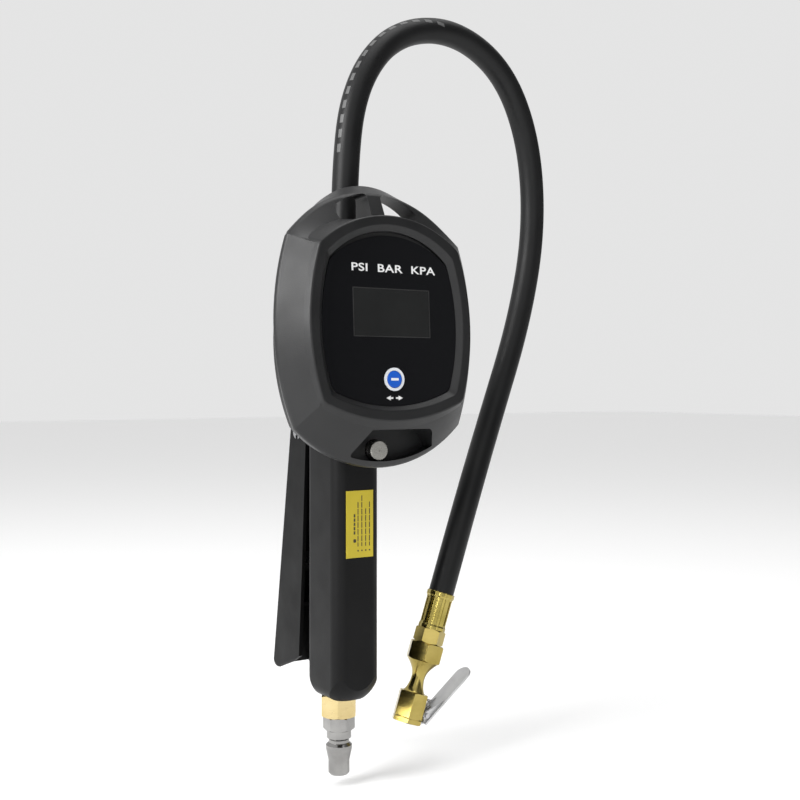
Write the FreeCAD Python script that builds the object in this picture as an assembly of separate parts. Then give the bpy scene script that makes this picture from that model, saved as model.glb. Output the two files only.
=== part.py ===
import FreeCAD, Part
import math
import os

from FreeCAD import Placement, Rotation, Vector

# Hand-held tyre inflator with a digital gauge, in millimetres.
# +Z runs up the handle, the gauge faces -Y and +X is to the right of a person reading it.
# The origin is on the handle's axis, where the quick plug's cylindrical land begins.

# ---- driving dimensions ----
PLUG_LAND_R = 5.4          # sealing land of the quick plug
PLUG_LAND_LENGTH = 6.0
PLUG_HEX_FLATS = 14.0
PLUG_TOP = 28.5            # plug hex meets the adapter
ADAPTER_HEX_FLATS = 17.0
HANDLE_FOOT = 39.5         # adapter hex meets the handle
THREAD_R = 6.58            # quarter-inch pipe thread, major radius
SMALL_THREAD_R = 4.86      # eighth-inch pipe thread, major radius
AIR_R = 3.5                # main air passage

HANDLE_WIDTH = 26.0        # along X
HANDLE_FRONT = -20.3
HANDLE_BACK = 12.3
HANDLE_CORNER_R = 6.5
HANDLE_END_R = 6.0
FOOT_BALL_R, FOOT_BALL_Z = 18.5, 54.0   # the foot is also rounded to a ball
HANDLE_SHOULDER = 186.0    # top of the full section, inside the rear housing
NECK_HALF_WIDTH = 11.0
NECK_FRONT, NECK_BACK = -15.0, 7.6
NECK_TOP = 250.0

VALVE_Z = 103.0            # axis of the trigger valve, along Y
VALVE_BORE_R = 6.0
STEM_R = 2.0
STEM_TIP_Y = 31.7
SUPPLY_Y = -5.0            # passage up to the supply side of the seat
OUTLET_Y = 3.1             # delivery passage, up the back of the neck
OUTLET_R = 2.0
RUNNING = 0.05             # radial clearance of a running fit

LEVER_PIVOT = (22.0, 172.0)    # Y, Z
LEVER_HALF_WIDTH = 11.6
LEVER_WALL = 2.0
LEVER_PIN_R = 2.0
EAR_HALF_WIDTH = 9.3

HEAD_LEAN = 3.0            # degrees, top towards the back
HEAD_CENTRE = Vector(0, -30, 222)
JOINT_Y = -29.0            # where the front shell meets the rear housing
EDGE_Y = -36.5             # widest section of the head
FLANK_Y = -50.0            # the flank ends here, inside the crest
RIM_Y = -52.0              # crest of the rim round the face
PLATE_Y = -49.5            # front of the face plate
PLATE_THICKNESS = 1.4
GASKET_THICKNESS = 0.4
LEDGE_BACK_Y = -46.5       # back of the ledge that carries the plate
BOARD_Y = -43.5
BOARD_THICKNESS = 1.6
WALL = 2.3

UNIT_BUTTON_X, UNIT_BUTTON_Z = 0.7, 197.6
UNIT_BUTTON_R = 4.0
BLEED_Z = 164.5
BLEED_R = 5.0
BLEED_FACE_Y = -38.8
POCKET_Y = -31.0           # floor of the thumb pocket in the chin

HOSE_R = 6.75
HOSE_BORE_R = 3.25
BARB_R = 3.2
HOSE_AXIS_Y = -5.0
GLAND_TOP = 257.0          # hose sits on the gland here

CHUCK_TOP = Vector(60.6, -4.0, 85.4)   # top of the ferrule at the hose's far end
CHUCK_TILT = 19.0                      # degrees from straight down, mouth towards the handle
FERRULE_LENGTH = 19.7
HOSE_INTO_FERRULE = 3.0
TAIL_HEX_END = 27.5        # these four run down the chuck from the ferrule's top
CHUCK_HEX_END = 37.0
CHUCK_HEAD_START = 53.5
CHUCK_MOUTH = 69.3
MOUTH_R = 4.2
MOUTH_DEPTH = 9.2
CLIP_PIVOT = (8.8, 63.5)   # across and along the chuck
CLIP_LENGTH = 40.0
CLIP_ANGLE = 33.0          # between the clip and the chuck's axis
CLIP_WIDTH = 10.6
CLIP_SHEET = 1.0
CLIP_PIN_R = 1.2
LUG_R = 1.9                # lug and cheeks round the clip pin

# The hose's route: up out of the gland, over a loop and down to the chuck.
HOSE_ROUTE = [
    (0, -5, 257), (0, -5, 303), (8, -2, 349), (34, 3, 381), (74, 6, 391), (111, 8, 375),
    (132, 10, 338), (137, 11, 287), (126, 11, 233), (101, 8, 173), (75.51, -4, 128.7),
    (59.62, -4, 82.56),
]

ORIGIN = Vector(0, 0, 0)
X, Y, Z = Vector(1, 0, 0), Vector(0, 1, 0), Vector(0, 0, 1)

down = Vector(-math.sin(math.radians(CHUCK_TILT)), 0, -math.cos(math.radians(CHUCK_TILT)))
across = Vector(math.cos(math.radians(CHUCK_TILT)), 0, -math.sin(math.radians(CHUCK_TILT)))
IN_CHUCK = Placement(CHUCK_TOP, Rotation(across, down.cross(across), down, "ZXY"))
IN_HEAD = Placement(ORIGIN, Rotation(X, -HEAD_LEAN), HEAD_CENTRE)


# ---- helpers ----
def moved(shape, place):
    shape = shape.copy()
    shape.Placement = place.multiply(shape.Placement)
    return shape


def along(shape, axis, base=ORIGIN):
    """A shape made about +Z, laid along an axis from a base point."""
    return moved(shape, Placement(base, Rotation(Z, axis)))


def turned(profile):
    """A solid of revolution about +Z from a closed profile of (radius, height) points."""
    points = [Vector(r, 0, h) for r, h in profile]
    return Part.Face(Part.makePolygon(points + points[:1])).revolve(ORIGIN, Z, 360)


def rod(r, low, high, centre=(0.0, 0.0)):
    return Part.makeCylinder(r, high - low, Vector(centre[0], centre[1], low))


def ring(outer, inner, low, high, centre=(0.0, 0.0)):
    return rod(outer, low, high, centre).cut(rod(inner, low - 1, high + 1, centre))


def rod_y(r, front, back, x=0.0, z=0.0):
    return Part.makeCylinder(r, back - front, Vector(x, front, z), Y)


def ring_y(outer, inner, front, back, x=0.0, z=0.0):
    return rod_y(outer, front, back, x, z).cut(rod_y(inner, front - 1, back + 1, x, z))


def rod_x(r, half, y, z):
    return Part.makeCylinder(r, 2 * half, Vector(-half, y, z), X)


def block(x0, x1, y0, y1, z0, z1):
    return Part.makeBox(x1 - x0, y1 - y0, z1 - z0, Vector(x0, y0, z0))


def hexagon(flats, low, high, turn=0.0, chamfer=0.7):
    """A hexagonal bar about +Z with its corners chamfered at both ends; turn 0 puts a corner on +X."""
    corner = flats / math.sqrt(3)
    points = [Vector(corner * math.cos(math.radians(turn + 60 * k)),
                     corner * math.sin(math.radians(turn + 60 * k)), low) for k in range(7)]
    points[-1] = points[0]
    bar = Part.Face(Part.makePolygon(points)).extrude(Vector(0, 0, high - low))
    inner = corner - 1.6 * chamfer
    return bar.common(turned([(0, low), (inner, low), (corner, low + chamfer),
                              (corner, high - chamfer), (inner, high), (0, high)]))


def coil_spring(mean_r, wire_r, low, high, turns):
    """A compression spring about +Z between two heights."""
    height = high - low - 2 * wire_r
    helix = Part.makeHelix(height / turns, height, mean_r)
    circle = Part.Wire(Part.makeCircle(wire_r, Vector(mean_r, 0, 0), Y))
    return moved(helix.makePipeShell([circle], True, True), Placement(Vector(0, 0, low + wire_r), Rotation()))


def prism(points, direction):
    return Part.Face(Part.makePolygon(points + points[:1])).extrude(direction)


def edges_along(shape, axis, test=None):
    """The straight edges of a shape that run along an axis."""
    chosen = []
    for edge in shape.Edges:
        ends = [v.Point for v in edge.Vertexes]
        if len(ends) == 2 and ends[0].sub(ends[1]).Length > 1e-6:
            if ends[0].sub(ends[1]).normalize().cross(axis).Length < 1e-6 and (test is None or test(edge)):
                chosen.append(edge)
    return chosen


def fused(first, *others):
    return first.fuse(list(others)).removeSplitter()


def cut(shape, *tools):
    return shape.cut(list(tools))


def export(node, shape):
    solids = shape.Solids
    if not solids or not all(s.isValid() for s in solids):
        raise ValueError(node + " is not a valid solid")
    out = solids[0] if len(solids) == 1 else Part.makeCompound(solids)
    out.exportStep("parts/" + node + ".step")
    print(f"{node:20s} solids {len(solids)}  volume {sum(s.Volume for s in solids):10.1f}")


# ---- sections of the head: widest half-width, upper corner, apex, lower corner, foot ----
WIDEST_Z = 221.0
BACK_EDGE = (50.5, (37.0, 266.5), 293.4, (43.2, 176.0), 157.0)
EDGE = (55.8, (49.8, 266.0), 288.0, (46.5, 175.0), 155.6)
FLANK = (45.3, (39.2, 259.5), 252.0, (39.4, 185.8), 175.8)
CREST_BASE = (53.0, (44.0, 265.0), 277.4, (44.2, 177.0), 158.8)
RIM = (44.5, (38.5, 260.0), 275.0, (38.7, 187.0), 178.0)
OPENING = (40.1, (35.0, 256.4), 270.4, (34.9, 190.0), 182.6)
POCKET = (37.4, (32.6, 253.8), 267.8, (32.4, 192.0), 184.8)
PLATE = (37.25, (32.4, 253.0), 265.6, (32.2, 192.2), 185.0)
LEDGE = (35.4, (30.8, 250.4), 262.4, (30.6, 194.0), 187.0)
CAVITY_BACK = (47.8, (34.6, 261.0), 268.0, (41.0, 180.0), 178.2)
CAVITY_MIDDLE = (52.4, (43.6, 264.0), 268.0, (43.4, 179.6), 178.2)
CAVITY_FRONT = (43.3, (37.0, 257.0), 267.0, (36.5, 186.5), 180.6)
BODY_FRONT = (49.0, (35.5, 263.0), 269.5, (42.4, 177.0), 158.5)
BODY_MIDDLE = (29.5, (25.0, 262.0), 269.0, (25.0, 181.0), 176.0)
BODY_BACK = (21.5, (19.0, 252.0), 257.0, (19.0, 187.5), 185.5)


def inset(section, by, foot_by=None):
    half, (ux, uz), apex, (lx, lz), foot = section
    foot_by = by if foot_by is None else foot_by
    return (half - by, (ux - by, uz - by), apex - by, (lx - by, lz + by), foot + foot_by)


def outline(section, y):
    """A closed wire of four arcs in the plane Y = y."""
    half, (ux, uz), apex, (lx, lz), foot = section
    stations = [(lx, lz), (half, WIDEST_Z), (ux, uz), (0, apex), (-ux, uz), (-half, WIDEST_Z), (-lx, lz),
                (0, foot), (lx, lz)]
    at = [Vector(x, y, z) for x, z in stations]
    return Part.Wire([Part.Arc(*at[k:k + 3]).toShape() for k in (0, 2, 4, 6)])


def slab(section, front, back, corner_r=0.0):
    """A plate of a head section between two planes, with its four corners rounded."""
    plate = Part.Face(outline(section, front)).extrude(Vector(0, back - front, 0))
    return plate.makeFillet(corner_r, edges_along(plate, Y)) if corner_r else plate


def tapered(*stations):
    """A ruled solid through head sections, given as (section, y)."""
    return Part.makeLoft([outline(s, y) for s, y in stations], True, True)


def head_arc_z(section, x):
    """Height of a section's bottom arc at x."""
    half, _, _, (lx, lz), foot = section
    r = (lx ** 2 + (lz - foot) ** 2) / (2 * (lz - foot))
    return foot + r - math.sqrt(r ** 2 - x ** 2)


# ---- head: front shell ----
def eye(side):
    """Cutter for one hanging eye; side is 1 or -1."""
    a, b, c = (3.5, 288.3), (14.5, 285.4), (23.8, 279.4)
    d, e, f = (20.6, 271.4), (12.0, 273.6), (3.9, 274.8)
    p = [Vector(side * x, -60, z) for x, z in (a, b, c, d, e, f)]
    wire = Part.Wire([Part.Arc(p[0], p[1], p[2]).toShape(), Part.LineSegment(p[2], p[3]).toShape(),
                      Part.Arc(p[3], p[4], p[5]).toShape(), Part.LineSegment(p[5], p[0]).toShape()])
    cutter = Part.Face(wire).extrude(Vector(0, 50, 0))
    return cutter.makeFillet(2.4, edges_along(cutter, Y))


def thumb_pocket():
    """Cutter for the pocket in the chin, wider to the right than to the left."""
    lip = 3.4
    top = 174.0
    left, right = -19.0, 28.4
    middle = (left + right) / 2
    p = [Vector(-11, POCKET_Y, top), Vector(24, POCKET_Y, top)]
    p += [Vector(x, POCKET_Y, head_arc_z(EDGE, x) + lip) for x in (right, middle, left)]
    wire = Part.Wire([Part.LineSegment(p[0], p[1]).toShape(), Part.LineSegment(p[1], p[2]).toShape(),
                      Part.Arc(p[2], p[3], p[4]).toShape(), Part.LineSegment(p[4], p[0]).toShape()])
    cutter = Part.Face(wire).extrude(Vector(0, -30, 0))
    upper_right = edges_along(cutter, Y, lambda e: e.Vertexes[0].X > 20 and e.Vertexes[0].Z > 170)
    cutter = cutter.makeFillet(4.5, upper_right)
    return cutter.makeFillet(1.5, edges_along(cutter, Y, lambda e: e.Vertexes[0].X < 0))


POST_PLACES = [(side * x, z) for side in (1, -1) for x, z in ((35.5, 250.0), (35.0, 188.5))]
BOARD_PLACES = [(side * 39.6, z) for side in (1, -1) for z in (206.0, 236.0)]


def edges_at(shape, y):
    """The edges of a shape that lie in the plane Y = y."""
    return [e for e in shape.Edges if all(abs(v.Y - y) < 1e-3 for v in e.Vertexes)]


def crease_edges(shape):
    return [e for e in shape.Edges if len(e.Vertexes) == 2
            and abs(e.Vertexes[0].Y - e.Vertexes[1].Y) > 2]


def front_shell():
    flank = tapered((BACK_EDGE, JOINT_Y), (EDGE, EDGE_Y), (FLANK, FLANK_Y))
    flank = flank.makeFillet(3.0, edges_at(flank, EDGE_Y))
    crest = tapered((CREST_BASE, EDGE_Y), (RIM, RIM_Y))
    crest = crest.makeFillet(5.0, crease_edges(crest))
    crest = crest.makeFillet(1.2, edges_at(crest, RIM_Y))
    outer = flank.fuse(crest)
    recess = tapered((OPENING, RIM_Y - 0.1), (POCKET, PLATE_Y))
    recess = recess.makeFillet(5.0, crease_edges(recess))
    shell = cut(outer, recess, slab(POCKET, PLATE_Y - 0.1, PLATE_Y + PLATE_THICKNESS + GASKET_THICKNESS, 6.0))
    lip = [e for e in edges_at(shell, RIM_Y) if all(abs(v.X) < OPENING[0] + 0.1 for v in e.Vertexes)]
    shell = shell.makeFillet(0.9, lip)
    shell = cut(shell, slab(LEDGE, RIM_Y, LEDGE_BACK_Y + 1, 5.0),
                tapered((CAVITY_FRONT, LEDGE_BACK_Y), (CAVITY_MIDDLE, EDGE_Y), (CAVITY_BACK, JOINT_Y + 0.1)),
                eye(1), eye(-1), thumb_pocket())
    posts = [rod_y(3.6, LEDGE_BACK_Y - 1, JOINT_Y, x, z) for x, z in POST_PLACES]
    standoffs = [rod_y(2.3, LEDGE_BACK_Y - 1, BOARD_Y, x, z) for x, z in BOARD_PLACES]
    shell = shell.fuse([p.common(outer) for p in posts + standoffs])
    pilots = [rod_y(1.25, -42.0, JOINT_Y + 1, x, z) for x, z in POST_PLACES]
    pilots += [rod_y(0.8, BOARD_Y - 5, BOARD_Y + 1, x, z) for x, z in BOARD_PLACES]
    shell = cut(shell, *pilots).removeSplitter()
    return moved(shell, IN_HEAD).cut(rod_y(BLEED_R + 0.3, -40, -20, 0, BLEED_Z))


# ---- head: face, display and board ----
WINDOW = (-20.8, 22.2, 217.5, 240.6)    # x from, x to, z from, z to


def face_plate():
    plate = slab(PLATE, PLATE_Y, PLATE_Y + PLATE_THICKNESS, 6.0)
    x0, x1, z0, z1 = WINDOW
    plate = cut(plate, block(x0, x1, PLATE_Y - 1, PLATE_Y + 3, z0, z1),
                rod_y(UNIT_BUTTON_R + 0.25, PLATE_Y - 1, PLATE_Y + 3, UNIT_BUTTON_X, UNIT_BUTTON_Z),
                rod_y(5.5, PLATE_Y - 1, PLATE_Y + 0.8, UNIT_BUTTON_X, UNIT_BUTTON_Z))
    return moved(plate, IN_HEAD)


def lcd_window():
    x0, x1, z0, z1 = WINDOW
    return moved(block(x0, x1, PLATE_Y, PLATE_Y + PLATE_THICKNESS, z0, z1), IN_HEAD)


def face_gasket():
    back = PLATE_Y + PLATE_THICKNESS
    outer = slab(inset(POCKET, 0.5), back, back + GASKET_THICKNESS, 6.0)
    return moved(cut(outer, slab(LEDGE, back - 1, back + 1, 5.0)), IN_HEAD)


def button_ring():
    return moved(ring_y(5.5, UNIT_BUTTON_R + 0.2, PLATE_Y - 0.5, PLATE_Y + 0.8, UNIT_BUTTON_X, UNIT_BUTTON_Z), IN_HEAD)


BUTTON_STEM_BACK = -47.6
SWITCH_FRONT = -46.9


def unit_button():
    cap = rod_y(UNIT_BUTTON_R, PLATE_Y - 0.7, BUTTON_STEM_BACK, UNIT_BUTTON_X, UNIT_BUTTON_Z)
    front = [e for e in cap.Edges if all(abs(v.Y - (PLATE_Y - 0.7)) < 1e-3 for v in e.Vertexes)]
    cap = cap.makeFillet(0.35, [e for e in front if e.Closed])
    flange = rod_y(5.2, PLATE_Y + PLATE_THICKNESS + 0.1, BUTTON_STEM_BACK, UNIT_BUTTON_X, UNIT_BUTTON_Z)
    return moved(fused(cap, flange), IN_HEAD)


def switch_plunger():
    return moved(rod_y(1.75, BUTTON_STEM_BACK, SWITCH_FRONT + 1.0, UNIT_BUTTON_X, UNIT_BUTTON_Z), IN_HEAD)


def tact_switch():
    x, z = UNIT_BUTTON_X, UNIT_BUTTON_Z
    case = block(x - 3, x + 3, SWITCH_FRONT, BOARD_Y, z - 3, z + 3)
    case = cut(case, rod_y(1.8, SWITCH_FRONT - 1, SWITCH_FRONT + 1.6, x, z))
    return moved(case, IN_HEAD)


def lcd_module():
    x0, x1, z0, z1 = WINDOW
    edge = 3.2
    body = block(x0 - edge, x1 + edge, -48.0, BOARD_Y, z0 - edge, z1 + edge)
    return moved(body, IN_HEAD)


def circuit_board():
    board = slab(inset(CAVITY_FRONT, 0.9), BOARD_Y, BOARD_Y + BOARD_THICKNESS, 4.0)
    holes = [rod_y(1.05, BOARD_Y - 1, BOARD_Y + 3, x, z) for x, z in BOARD_PLACES]
    holes += [rod_y(4.4, BOARD_Y - 1, BOARD_Y + 3, x, z) for x, z in POST_PLACES]
    return moved(cut(board, *holes), IN_HEAD)


def board_components():
    back = BOARD_Y + BOARD_THICKNESS
    chips = [block(-6, 6, back, back + 1.6, 226, 238), block(14.5, 24, back, back + 1.5, 214, 220)]
    chips += [block(x, x + 3.2, back, back + 1.1, 205, 206.6) for x in (-26, -20, 14, 20)]
    chips += [rod_y(3.1, back, back + 5.0, -18, 217), rod_y(4.6, back, back + 3.2, 20, 240)]
    return moved(Part.makeCompound(chips), IN_HEAD)


def small_screw(head_r, head_h, shank_r, length):
    """A pan-head screw about +Z: the shank's tip is at the origin, the head at the top."""
    slot = block(-head_r, head_r, -0.3, 0.3, length + head_h - 0.7, length + head_h + 1)
    across_slot = block(-0.3, 0.3, -head_r, head_r, length + head_h - 0.7, length + head_h + 1)
    body = turned([(0, 0), (0.5 * shank_r, 0), (shank_r, shank_r), (shank_r, length), (head_r, length),
                   (head_r, length + 0.6 * head_h), (0.7 * head_r, length + head_h), (0, length + head_h)])
    keep = rod(0.72 * head_r, length, length + head_h + 1)
    return cut(body, slot.common(keep), across_slot.common(keep))


def screws(places, seat_y, head_r, head_h, shank_r, length):
    """Screws driven towards -Y, with the underside of each head at seat_y."""
    solids = []
    for x, z in places:
        solids.append(along(small_screw(head_r, head_h, shank_r, length), Y, Vector(x, seat_y - length, z)))
    return moved(Part.makeCompound(solids), IN_HEAD)


# ---- head: rear housing, batteries ----
BATTERY_BAY = (14.0, 195.0, 245.0)     # half-width, z from, z to
CELL_R = 5.2
CELL_LENGTH = 43.7
CELL_X, CELL_Y, CELL_LOW = 5.6, 16.2, 197.75
REAR_WALL_Y = 21.8
REAR_Y = 24.0
SCREW_SEAT_Y = -24.0


def handle_section(grow, low, high):
    """The handle's rounded rectangle, grown all round, between two heights."""
    half = HANDLE_WIDTH / 2 + grow
    bar = block(-half, half, HANDLE_FRONT - grow, HANDLE_BACK + grow, low, high)
    return bar.makeFillet(HANDLE_CORNER_R + grow, edges_along(bar, Z))


def hood():
    """A half-round guard behind the hose where it leaves the housing, cut low at the front."""
    top, base, outer, inner = 283.0, 255.0, 12.6, 8.8
    tube = ring(outer, inner, base, top, (0, HOSE_AXIS_Y))
    front_height = 264.0
    slope = prism([Vector(-20, -20, front_height), Vector(-20, 5, top), Vector(-20, 5, top + 20),
                   Vector(-20, -20, top + 20)], Vector(40, 0, 0))
    return tube.cut(slope)


def rear_housing():
    flange = slab(inset(BACK_EDGE, 0.3), JOINT_Y, JOINT_Y + 3, 6.0)
    body = tapered((BODY_FRONT, JOINT_Y + 3), (BODY_MIDDLE, 6.0), (BODY_BACK, REAR_Y))
    body = body.makeFillet(3.0, [e for e in crease_edges(body) if e.Vertexes[0].Z < 200])
    body = body.makeFillet(1.8, edges_at(body, REAR_Y))
    cavity = tapered((inset(BODY_FRONT, WALL), JOINT_Y - 1), (inset(BODY_FRONT, WALL), JOINT_Y + 3),
                     (inset(BODY_MIDDLE, WALL), 6.0), (inset(BODY_BACK, WALL), REAR_WALL_Y))
    posts = [rod_y(4.4, JOINT_Y, REAR_Y, x, z).common(body) for x, z in POST_PLACES]
    pads = [rod_y(3.6, JOINT_Y, JOINT_Y + 3, x, z) for x, z in POST_PLACES]
    shell = cut(body.fuse(flange), cavity, eye(1), eye(-1)).fuse(posts + pads)
    drills = [rod_y(1.6, JOINT_Y - 1, REAR_Y, x, z) for x, z in POST_PLACES]
    drills += [rod_y(3.0, SCREW_SEAT_Y, REAR_Y + 5, x, z) for x, z in POST_PLACES]
    half, low, high = BATTERY_BAY
    shell = cut(shell, block(-half, half, REAR_WALL_Y - 1, REAR_Y + 1, low, high), *drills)
    shell = moved(shell, IN_HEAD)
    shell = shell.fuse(hood())
    return cut(shell, rod(8.8, 250, 300, (0, HOSE_AXIS_Y)), handle_section(0.15, 140, HANDLE_SHOULDER + 1),
               rod_y(BLEED_R + 0.3, -40, -20, 0, BLEED_Z)).removeSplitter()


def battery_cover():
    half, low, high = BATTERY_BAY
    gap = 0.2
    lid = block(-half + gap, half - gap, REAR_WALL_Y, REAR_Y, low + gap, high - gap)
    lid = lid.makeFillet(0.6, edges_at(lid, REAR_Y))
    grip = [block(-5, 5, REAR_Y - 0.6, REAR_Y + 1, low + 3 + 2 * k, low + 4 + 2 * k) for k in range(4)]
    tongue = block(-4, 4, REAR_WALL_Y - 1.2, REAR_WALL_Y, high - gap - 2.0, high + 1.5)
    return moved(fused(cut(lid, *grip), tongue), IN_HEAD)


def battery_holder():
    tray = block(-13, 13, 9.8, 20.4, 195.5, 244.5)
    return moved(cut(tray, block(-11.8, 11.8, 11.0, 22, 196.7, 243.3)), IN_HEAD)


def battery(x, up):
    """One cylindrical cell; its raised end is at the top where up is true."""
    nub = 0.8
    low = CELL_LOW if up else CELL_LOW + nub
    can = rod(CELL_R, low, low + CELL_LENGTH, (x, CELL_Y))
    cap = rod(2.7, low + CELL_LENGTH, low + CELL_LENGTH + nub, (x, CELL_Y)) if up \
        else rod(2.7, low - nub, low, (x, CELL_Y))
    return can.fuse(cap)


def batteries():
    return moved(Part.makeCompound([battery(-CELL_X, True), battery(CELL_X, False)]), IN_HEAD)


def battery_contacts():
    bay_low, bay_high, plate = 196.7, 243.3, 0.5
    cell_high = CELL_LOW + CELL_LENGTH + 0.8
    pieces = []
    for x in (-CELL_X, CELL_X):
        pieces.append(block(x - 4.5, x + 4.5, 12, 20.5, bay_low, bay_low + plate)
                      .fuse(rod(2.2, bay_low + plate, CELL_LOW, (x, CELL_Y))))
        pieces.append(block(x - 4.5, x + 4.5, 12, 20.5, bay_high - plate, bay_high)
                      .fuse(rod(2.2, cell_high, bay_high - plate, (x, CELL_Y))))
    return moved(Part.makeCompound(pieces), IN_HEAD)


# ---- handle and air passages ----
def handle_body():
    grip = handle_section(0.0, HANDLE_FOOT, HANDLE_SHOULDER)
    foot = [e for e in grip.Edges if all(abs(v.Z - HANDLE_FOOT) < 1e-3 for v in e.Vertexes)]
    grip = grip.makeFillet(HANDLE_END_R, foot)
    middle = (0, (HANDLE_FRONT + HANDLE_BACK) / 2)
    bowl = Part.makeSphere(FOOT_BALL_R, Vector(*middle, FOOT_BALL_Z))
    grip = grip.common(bowl.fuse(rod(FOOT_BALL_R + 3, FOOT_BALL_Z, 260, middle)))
    neck = block(-NECK_HALF_WIDTH, NECK_HALF_WIDTH, NECK_FRONT, NECK_BACK, HANDLE_SHOULDER, NECK_TOP)
    pivot_y, pivot_z = LEVER_PIVOT
    ear = block(-EAR_HALF_WIDTH, EAR_HALF_WIDTH, HANDLE_BACK - 4, pivot_y, pivot_z - 5.5, pivot_z + 5.5)
    body = fused(grip, neck, ear, rod_x(5.5, EAR_HALF_WIDTH, pivot_y, pivot_z))
    return cut(body,
               rod_x(LEVER_PIN_R, 20, pivot_y, pivot_z),
               rod(THREAD_R, 30, 50.5),
               rod(5.0, 50, 58.5), rod(AIR_R, 58, 70), rod(3.0, 66, VALVE_Z, (0, SUPPLY_Y)),
               rod_y(VALVE_BORE_R, -17, HANDLE_BACK + 1, 0, VALVE_Z),
               rod(OUTLET_R, VALVE_Z, 240, (0, OUTLET_Y)),
               rod_y(1.6, HOSE_AXIS_Y, NECK_BACK + 1, 0, 239.0),
               rod(THREAD_R, 238, NECK_TOP + 1, (0, HOSE_AXIS_Y)),
               rod_y(4.0, HANDLE_FRONT - 1, -9, 0, BLEED_Z), rod_y(3.0, -10, -3, 0, BLEED_Z),
               rod_y(1.5, -4, OUTLET_Y, 0, BLEED_Z),
               rod_y(3.0, NECK_FRONT - 1, -9, 0, 205.0), rod_y(1.2, -10, OUTLET_Y, 0, 205.0))


def valve_seat():
    return ring_y(VALVE_BORE_R, 3.2, -0.8, 1.0, 0, VALVE_Z)


def valve_guide_nut():
    """Screws into the handle's back, guides the stem and holds its seal."""
    body = rod_y(VALVE_BORE_R, 5.2, HANDLE_BACK, 0, VALVE_Z)
    nut = along(hexagon(12.0, 0, 3.2, 30), Y, Vector(0, HANDLE_BACK, VALVE_Z))
    return cut(body.fuse(nut), rod_y(STEM_R + RUNNING, 0, 30, 0, VALVE_Z),
               rod_y(3.6, 4, 7.4, 0, VALVE_Z)).removeSplitter()


def stem_seal():
    return Part.makeTorus(STEM_R + RUNNING + 0.75, 0.75, Vector(0, 6.3, VALVE_Z), Y)


def valve_stem():
    shank = rod_y(STEM_R, -1.2, STEM_TIP_Y, 0, VALVE_Z)
    tip = [e for e in shank.Edges if e.Closed and abs(e.Vertexes[0].Y - STEM_TIP_Y) < 1e-3]
    return shank.makeFillet(0.8, tip)


def valve_poppet():
    """Rubber-faced disc that closes the seat from the supply side, with a spigot for its spring."""
    disc = along(turned([(0, 0), (4.6, 0), (4.6, 2.0), (3.6, 2.9), (STEM_R, 2.9), (STEM_R, 2.7), (0, 2.7)]), Y,
                 Vector(0, -3.9, VALVE_Z))
    return disc.fuse(rod_y(1.6, -6.0, -3.9, 0, VALVE_Z))


def lever():
    """Channel-shaped squeeze lever, open towards the handle, hung from its top on the lever pin."""
    pivot_y, pivot_z = LEVER_PIVOT
    top_r = 8.2
    spine_top, spine_low = (32.5, 171.0), (52.8, 42.3)
    side = [(pivot_y - top_r, pivot_z), (pivot_y - 4, pivot_z + 7.2), (pivot_y + 3.5, pivot_z + 8.0),
            (30.6, 177.5), spine_top, spine_low, (30.0, 50.9), (21.4, 55.5), (18.0, 103.0)]
    outer = prism([Vector(-LEVER_HALF_WIDTH, y, z) for y, z in side], Vector(2 * LEVER_HALF_WIDTH, 0, 0))
    outer = outer.makeFillet(4.2, edges_along(outer, X, lambda e: e.Vertexes[0].Y > 45))
    inside = LEVER_HALF_WIDTH - LEVER_WALL
    spine = LEVER_WALL + 0.2
    channel = [(0, pivot_z + 20), (spine_top[0] - spine - 1.5, pivot_z + 20), (spine_top[0] - spine, spine_top[1]),
               (spine_low[0] - spine, spine_low[1] - 0.3), (spine_low[0] - spine - 1.2, 30), (0, 30)]
    room = prism([Vector(-inside, y, z) for y, z in channel], Vector(2 * inside, 0, 0))
    long_edges = [e for e in outer.Edges if len(e.Vertexes) == 2
                  and all(v.Y > 32 for v in e.Vertexes) and abs(e.Vertexes[0].Z - e.Vertexes[1].Z) > 50]
    outer = outer.makeFillet(2.2, long_edges)
    pad = block(-4, 4, 32.0, 42.2, VALVE_Z - 5, VALVE_Z + 5)
    rib = block(-inside, inside, 36.0, 45.6, 78.0, 80.0)
    shell = outer.cut(room).fuse([pad.common(outer), rib.common(outer)])
    return cut(shell, rod_x(LEVER_PIN_R + RUNNING, 20, pivot_y, pivot_z)).removeSplitter()


PIN_HALF_LENGTH = LEVER_HALF_WIDTH + 1.9


def lever_pin():
    pin = rod_x(LEVER_PIN_R, PIN_HALF_LENGTH, *LEVER_PIVOT)
    for side in (1, -1):
        groove = along(ring(LEVER_PIN_R + 1, 1.5, -0.3, 0.3), X,
                       Vector(side * (LEVER_HALF_WIDTH + 0.7), *LEVER_PIVOT))
        pin = pin.cut(groove)
    return pin


def pin_clips():
    """A retaining ring in the groove at each end of the lever pin."""
    clips = []
    for side in (1, -1):
        disc = ring(4.0, 1.5, -0.3, 0.3).cut(block(0, 6, -1.1, 1.1, -1, 1))
        clips.append(along(disc, X, Vector(side * (LEVER_HALF_WIDTH + 0.7), *LEVER_PIVOT)))
    return Part.makeCompound(clips)


def label():
    return block(-7.7, 7.7, HANDLE_FRONT - 0.25, HANDLE_FRONT, 111.0, 144.0)


def inlet_adapter():
    body = hexagon(ADAPTER_HEX_FLATS, PLUG_TOP, HANDLE_FOOT, 57.0).fuse(rod(THREAD_R, HANDLE_FOOT - 1, 50.0))
    return cut(body, rod(THREAD_R, PLUG_TOP - 1, PLUG_TOP + 7.5), rod(AIR_R, PLUG_TOP, 51)).removeSplitter()


def inlet_filter():
    """Sintered cup that catches dirt from the air line."""
    return rod(5.0, 50.5, 58.5).cut(rod(AIR_R, 49, 56.5))


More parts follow.
